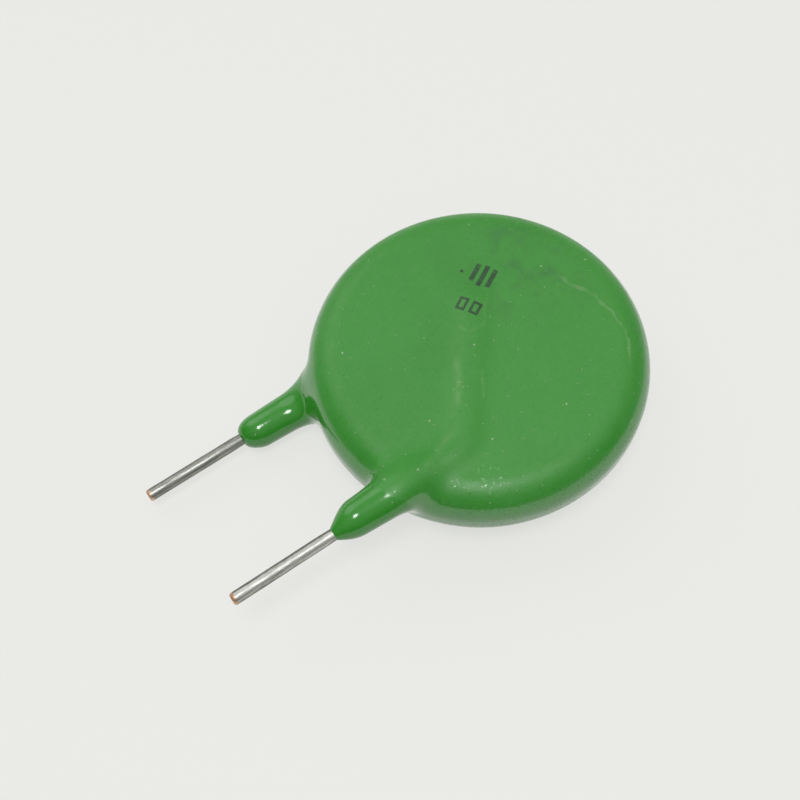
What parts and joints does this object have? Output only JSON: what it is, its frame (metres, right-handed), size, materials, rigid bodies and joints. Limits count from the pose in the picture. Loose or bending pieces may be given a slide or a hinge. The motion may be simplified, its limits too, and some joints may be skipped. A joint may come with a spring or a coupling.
{
  "type": "disc varistor",
  "caption": "Round metal oxide varistor in a glossy green epoxy coat, with straight short leads drawn out of its edge from opposite faces.",
  "frame": {"origin": "middle of the whole part's box, level with the middle of the disc's thickness; the disc's centre is 5.45 mm along +X from it", "axes": "-X is the way the leads point, +Z is square to the disc's faces, on the side of the front lead, which lies at -Y"},
  "size_m": [0.0324, 0.0216, 0.0065],
  "materials": {
    "coat": "glossy green dipped epoxy, slightly uneven",
    "ceramic": null,
    "silver": "matt fired silver",
    "solder": "smooth dull solder",
    "lead": "bright tinned copper wire, copper showing at the cut ends"
  },
  "bodies": {
    "root": {"coating": "coat", "ceramic_disc": "ceramic", "front_electrode": "silver", "rear_electrode": "silver", "front_solder": "solder", "rear_solder": "solder", "front_lead": "lead", "rear_lead": "lead"}
  },
  "joints": []
}
